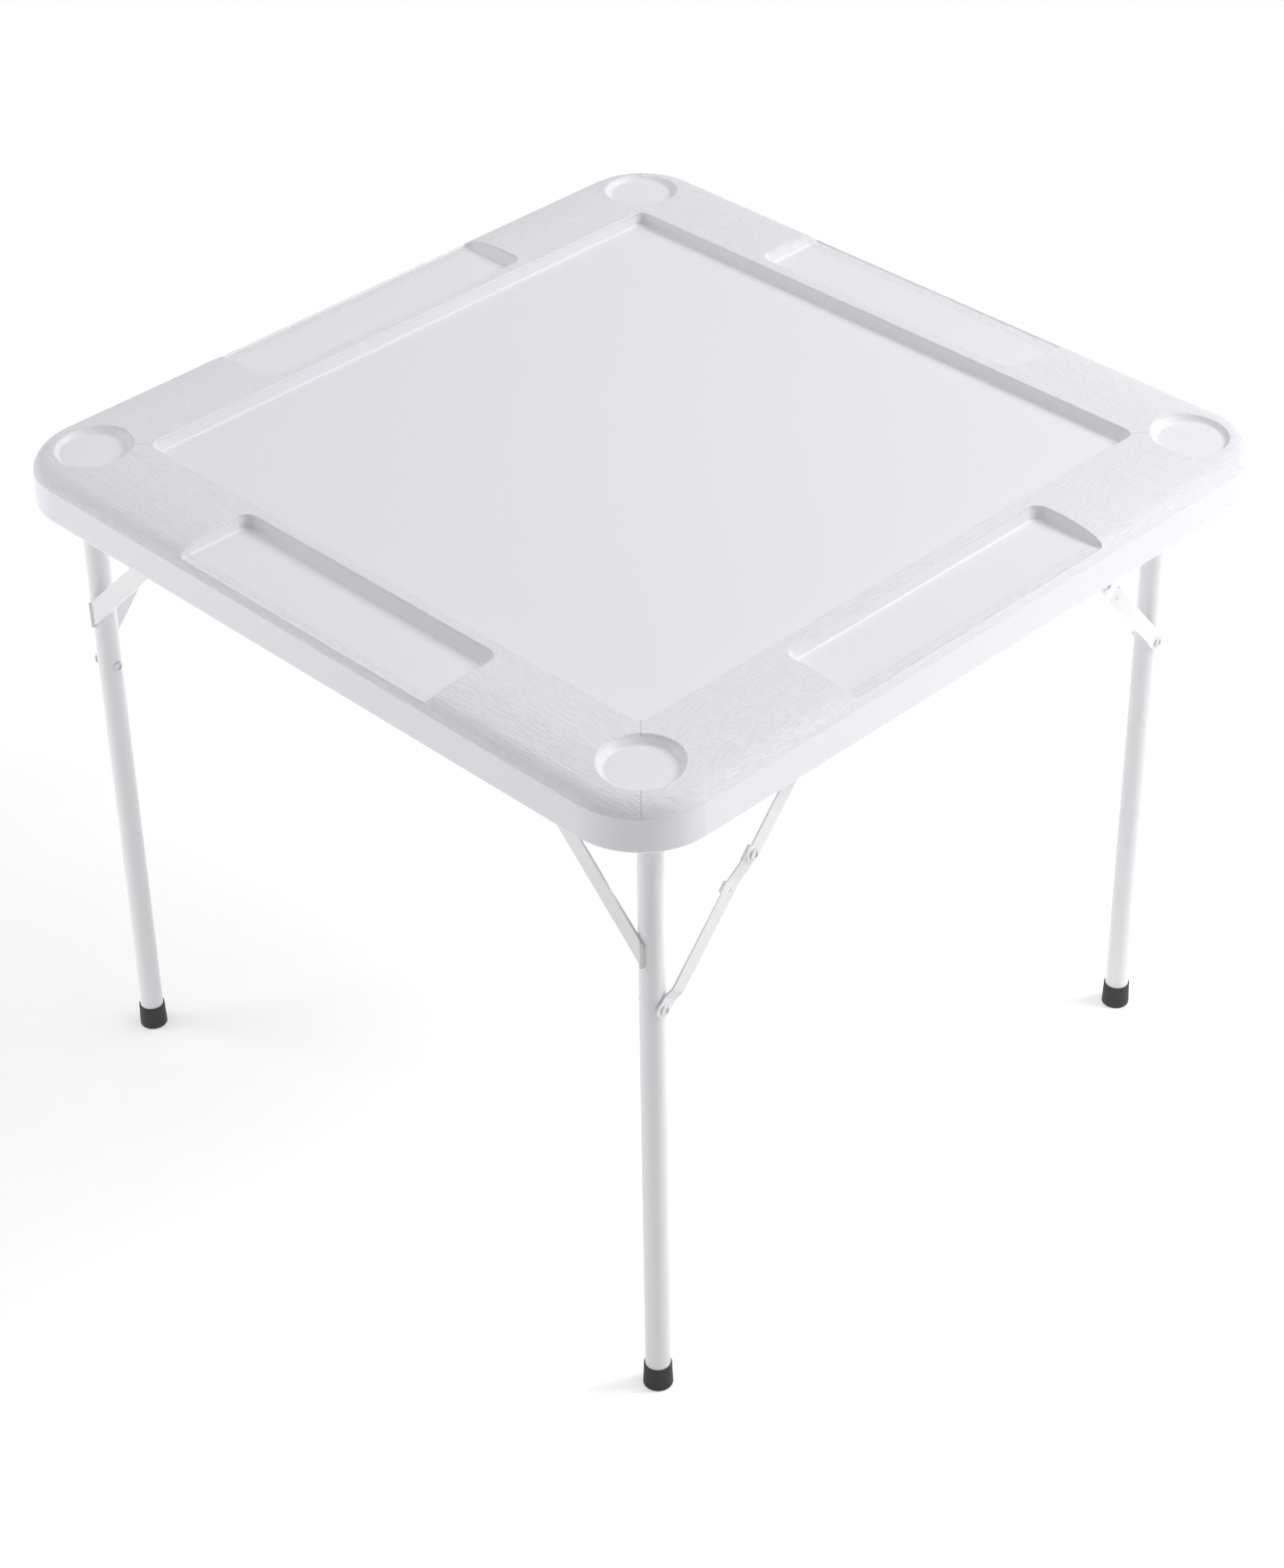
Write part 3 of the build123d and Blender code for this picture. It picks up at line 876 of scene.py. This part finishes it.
    def cross(self, made: bmesh.types.BMesh, scale: float, height: float) -> Loop:
        """The twelve corners of the recess at a height.

        Args:
            made: The mesh to add them to.
            scale: The share of their full length that the cross's arms have there.
            height: The height.

        Returns:
            The corners in order.
        """
        reach, arm = self.recess_radius * scale, self.recess_arm
        quarter = [(arm, arm), (reach, arm), (reach, -arm)]
        corners: Loop = []
        for turn in range(4):
            angle = -turn * math.pi / 2
            for x, y in quarter:
                spun_x = x * math.cos(angle) - y * math.sin(angle)
                spun_y = x * math.sin(angle) + y * math.cos(angle)
                corners.append(made.verts.new((spun_x, spun_y, height)))
        return corners

    def skirt(self, made: bmesh.types.BMesh, upper: Loop, lower: Loop) -> None:
        """Quads between two loops of as many points."""
        for (a, b), (c, d) in zip(self.pairs(upper), self.pairs(lower)):
            made.faces.new((a, b, d, c))

    def tree(self) -> Tool:
        """Make the tree that sets a screw on each point at its own turn.

        Returns:
            The tree.
        """
        inputs = {"Screw": "NodeSocketObject", "Seed": "NodeSocketInt", "Finish": "NodeSocketMaterial"}
        tool = Tool("screw_set", inputs)
        graph = tool.graph
        points = graph.node("GeometryNodeMeshToPoints", {}, {"Mesh": tool.given["Geometry"]})
        screw = graph.node("GeometryNodeObjectInfo", {}, {"Object": tool.given["Screw"]})
        inputs = {"Seed": tool.given["Seed"], "Max": math.tau}
        turn = graph.node("FunctionNodeRandomValue", {"data_type": "FLOAT"}, inputs)
        spin = graph.place(0.0, 0.0, Value(graph, turn.outputs["Value"]))
        inputs = {"Points": points.outputs[0], "Instance": screw.outputs["Geometry"], "Rotation": spin}
        tool.close(graph.node("GeometryNodeInstanceOnPoints", {}, inputs).outputs[0])
        return tool


# The table


@dataclass
class Tabletop:
    """The moulded top."""

    nodes: dict[str, bpy.types.Object]
    name: str = "tabletop"

    def build(self) -> list[str]:
        """Dress the moulding and return its name."""
        dress(self.nodes[self.name], Slot.PLASTIC)
        return [self.name]


@dataclass
class Steelwork:
    """All the steel and rubber nodes, dressed by what their names end with."""

    nodes: dict[str, bpy.types.Object]
    painted: tuple[str, ...] = ("_leg", "_cross_tube", "_gusset", "_lower_brace", "_upper_brace")
    plated: tuple[str, ...] = ("_rivet", "_rivet_head", "_bracket", "_screws")
    rubber: tuple[str, ...] = ("_foot_cap",)

    def build(self) -> list[str]:
        """Give each node its finish.

        Returns:
            The names of the nodes.
        """
        kinds = ((self.painted, Slot.PAINT), (self.plated, Slot.ZINC), (self.rubber, Slot.RUBBER))
        done: list[str] = []
        for name, node in self.nodes.items():
            for endings, slot in kinds:
                if name.endswith(endings):
                    dress(node, slot)
                    done.append(name)
        return done


# Floor, light and camera


@dataclass
class SoftBox:
    """A square soft light aimed at a point."""

    name: str
    place: Point
    aim: Point
    size: float
    power: float

    def build(self) -> None:
        """Hang the light."""
        lamp = bpy.data.lights.new(self.name, "AREA")
        lamp.shape = "SQUARE"
        lamp.size = self.size
        lamp.energy = self.power
        made = bpy.data.objects.new(self.name, lamp)
        made.location = self.place
        made.rotation_euler = (Vector(self.aim) - Vector(self.place)).to_track_quat("-Z", "Y").to_euler()
        bpy.context.scene.collection.objects.link(made)


@dataclass
class Studio:
    """A pale floor that runs out into white, a white surround and soft lights.

    The floor gives floor_glow of light all round, and side_glow more outside a cone towards the camera.
    Under the table it gives only the share under_table of both, a painted shadow of the table. The camera
    sees neither: to it the near floor is lit paper raised by floor_lift, and the floor between white_from and
    white_by turns white.
    """

    floor_side: float = 60.0
    floor_colour: Colour = (0.90, 0.90, 0.90, 1.0)
    floor_lift: float = 0.40
    floor_glow: float = 0.39
    side_glow: float = 0.52
    front_from: float = 0.25
    front_by: float = 0.85
    under_table: float = 0.25
    open_from: float = 0.20
    open_by: float = 0.80
    white_from: float = 0.9
    white_by: float = 2.4
    least_far: float = 0.01
    ambient: float = 0.24
    surround: Colour = (0.985, 0.99, 1.0, 1.0)
    boxes: list[SoftBox] = field(
        default_factory=lambda: [
            SoftBox("overhead_box", (0.3, 0.2, 4.2), aim=(0.0, 0.0, 0.4), size=3.2, power=38.0),
            SoftBox("right_box", (2.3, 2.4, 3.3), aim=(0.0, 0.0, 0.6), size=1.8, power=117.0),
            SoftBox("left_box", (-3.2, -3.0, 2.1), aim=(0.0, 0.0, 0.5), size=2.6, power=57.0),
        ]
    )

    def build(self) -> None:
        """Lay the floor, set the surround and hang the lights."""
        self._lay_floor()
        self._set_surround()
        for box in self.boxes:
            box.build()

    @staticmethod
    def _seen_white(graph: Graph) -> tuple[Value, Value]:
        """Find the rays to which the background is white.

        Args:
            graph: The graph to add to.

        Returns:
            The camera's rays, and those together with the rays of gloss and glass.
        """
        rays = graph.node("ShaderNodeLightPath").outputs
        camera = Value(graph, rays["Is Camera Ray"])
        gloss = Value(graph, rays["Is Glossy Ray"]).higher(Value(graph, rays["Is Transmission Ray"]))
        return camera, camera.higher(gloss)

    def _lay_floor(self) -> None:
        """Lay a floor that keeps the table's soft shadow, turns white further off and is clear from below."""
        half = self.floor_side / 2
        corners = [(-half, -half, 0.0), (half, -half, 0.0), (half, half, 0.0), (-half, half, 0.0)]
        mesh = bpy.data.meshes.new("studio_floor")
        mesh.from_pydata(corners, [], [(0, 1, 2, 3)])
        floor = bpy.data.objects.new("studio_floor", mesh)
        bpy.context.scene.collection.objects.link(floor)
        mesh.materials.append(self._floor_paper())

    def _floor_paper(self) -> bpy.types.Material:
        """Make the floor's material.

        Returns:
            The material.
        """
        made = bpy.data.materials.new("floor_paper")
        made.use_nodes = True
        made.node_tree.nodes.clear()
        graph = Graph(made.node_tree)
        camera, seen = self._seen_white(graph)
        x, y, _ = graph.axes(graph.own_place())
        far = (x * x + y * y) ** 0.5
        ahead = (x - y) * math.sqrt(0.5) / far.higher(self.least_far)
        aside = 1.0 - ahead.ramp(self.front_from, self.front_by)
        paper = graph.node("ShaderNodeBsdfDiffuse", {}, {"Color": self.floor_colour})
        # Painted shadow: the floor's glow drops to the share under_table beneath the table, where its shadow
        # falls.
        open_floor = self.under_table + (1.0 - self.under_table) * far.ramp(self.open_from, self.open_by)
        light = (self.floor_glow + aside * self.side_glow) * open_floor
        strength = camera * self.floor_lift + (1.0 - camera) * light
        glow = graph.node("ShaderNodeEmission", {}, {"Strength": strength})
        near = graph.node("ShaderNodeAddShader", {}, {0: paper.outputs[0], 1: glow.outputs[0]})
        white = graph.node("ShaderNodeEmission", {}, {"Strength": 1.0})
        share = far.ramp(self.white_from, self.white_by) * seen
        above = graph.node("ShaderNodeMixShader", {}, {0: share, 1: near.outputs[0], 2: white.outputs[0]})
        below = graph.node("ShaderNodeNewGeometry").outputs["Backfacing"]
        clear = graph.node("ShaderNodeBsdfTransparent")
        both = graph.node("ShaderNodeMixShader", {}, {0: below, 1: above.outputs[0], 2: clear.outputs[0]})
        graph.node("ShaderNodeOutputMaterial", {}, {"Surface": both.outputs[0]})
        return made

    def _set_surround(self) -> None:
        """Set a surround that is white to the camera, gloss and glass, and dimmer as a light."""
        world = bpy.data.worlds.new("surround")
        world.use_nodes = True
        world.node_tree.nodes.clear()
        graph = Graph(world.node_tree)
        camera, seen = self._seen_white(graph)
        strength = seen * (1.0 - self.ambient) + self.ambient
        colour = graph.mix(camera, self.surround, WHITE)
        back = graph.node("ShaderNodeBackground", {}, {"Color": colour, "Strength": strength})
        graph.node("ShaderNodeOutputWorld", {}, {"Surface": back.outputs["Background"]})
        bpy.context.scene.world = world


@dataclass
class PhotoCamera:
    """The camera where the photograph was taken from; turn is its axis of turning times the angle."""

    place: Point = (2.14338, -2.109736, 2.527591)
    turn: Point = (2.07297, 0.850483, -0.447842)
    focal_px: float = 4002.616
    long_side_px: float = 1759.0
    sensor_mm: float = 36.0
    clip_end: float = 100.0

    def build(self) -> None:
        """Set up the camera and make it the scene's."""
        data = bpy.data.cameras.new("photo_camera")
        data.sensor_fit = "AUTO"
        data.sensor_width = self.sensor_mm
        data.lens = self.focal_px / self.long_side_px * self.sensor_mm
        data.clip_end = self.clip_end
        made = bpy.data.objects.new("photo_camera", data)
        turn = Vector(self.turn)
        right, down, ahead = Matrix.Rotation(turn.length, 3, turn.normalized())
        axes = Matrix((right, -down, -ahead)).transposed()
        made.matrix_world = Matrix.Translation(self.place) @ axes.to_4x4()
        bpy.context.scene.collection.objects.link(made)
        bpy.context.scene.camera = made


def main() -> None:
    """Build the table's looks, its studio and its camera."""
    logging.basicConfig(level=logging.INFO, format="%(message)s")
    for left_over in list(bpy.data.objects):
        bpy.data.objects.remove(left_over)
    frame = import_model()
    nodes = frame["nodes"]
    for part in (Tabletop(nodes), Steelwork(nodes), WeldBeads(), BracketScrews()):
        for name in part.build():
            log.info("%s: %s", type(part).__name__, name)
    Studio().build()
    PhotoCamera().build()
    bpy.context.scene.view_settings.view_transform = "Standard"


if __name__ == "__main__":
    main()
